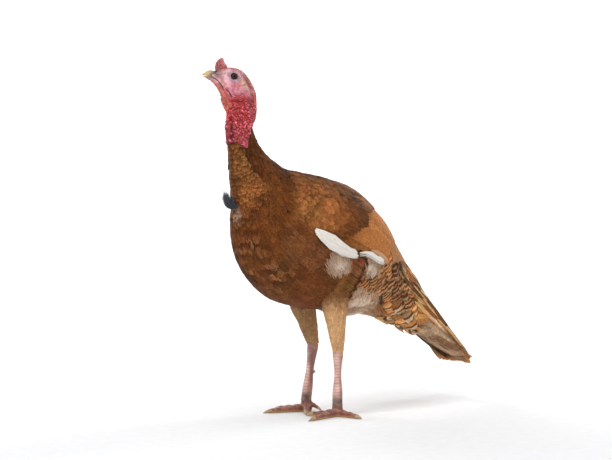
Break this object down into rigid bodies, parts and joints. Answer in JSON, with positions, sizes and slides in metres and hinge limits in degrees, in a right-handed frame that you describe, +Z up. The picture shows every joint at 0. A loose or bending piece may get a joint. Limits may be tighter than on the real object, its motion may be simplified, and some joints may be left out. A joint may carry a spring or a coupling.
{
  "type": "standing bourbon red turkey model",
  "caption": "Life-size still model of a young bourbon red turkey tom, standing with its head raised and turned to its right, wings folded and tail lowered",
  "frame": {"origin": "middle of the base of the bounding box, on the floor it stands on", "axes": "+Z up, the bird faces -Y, +X is its left side"},
  "size_m": [0.2816, 0.8064, 0.8861],
  "materials": {
    "chestnut_feathers": "deep chestnut contour feathers",
    "thigh_feathers": "short tan feathers",
    "wing_feathers": "chestnut coverts and flight feathers, the lowest of them white",
    "tail_feathers": "brown tail feathers and buff and black barred coverts",
    "head_skin": "pink-grey bare skin",
    "caruncle_skin": "red warty bare skin",
    "scaled_skin": "pink scutes",
    "bill": "pale horn",
    "claw": "brown horn",
    "eye": "dark brown, wet",
    "beard_bristle": "blue-grey bristles"
  },
  "bodies": {
    "root": {"beard": "beard_bristle", "bill_lower": "bill", "bill_upper": "bill", "claw_left_hind": "claw", "claw_left_inner": "claw", "claw_left_middle": "claw", "claw_left_outer": "claw", "claw_right_hind": "claw", "claw_right_inner": "claw", "claw_right_middle": "claw", "claw_right_outer": "claw", "eye_left": "eye", "eye_right": "eye", "foot_left": "scaled_skin", "foot_right": "scaled_skin", "head": "head_skin", "neck_bare": "caruncle_skin", "neck_feathered": "chestnut_feathers", "shank_left": "scaled_skin", "shank_right": "scaled_skin", "snood": "caruncle_skin", "tail": "tail_feathers", "thigh_left": "thigh_feathers", "thigh_right": "thigh_feathers", "torso": "chestnut_feathers", "wattle": "caruncle_skin", "wing_left": "wing_feathers", "wing_right": "wing_feathers"}
  },
  "joints": []
}
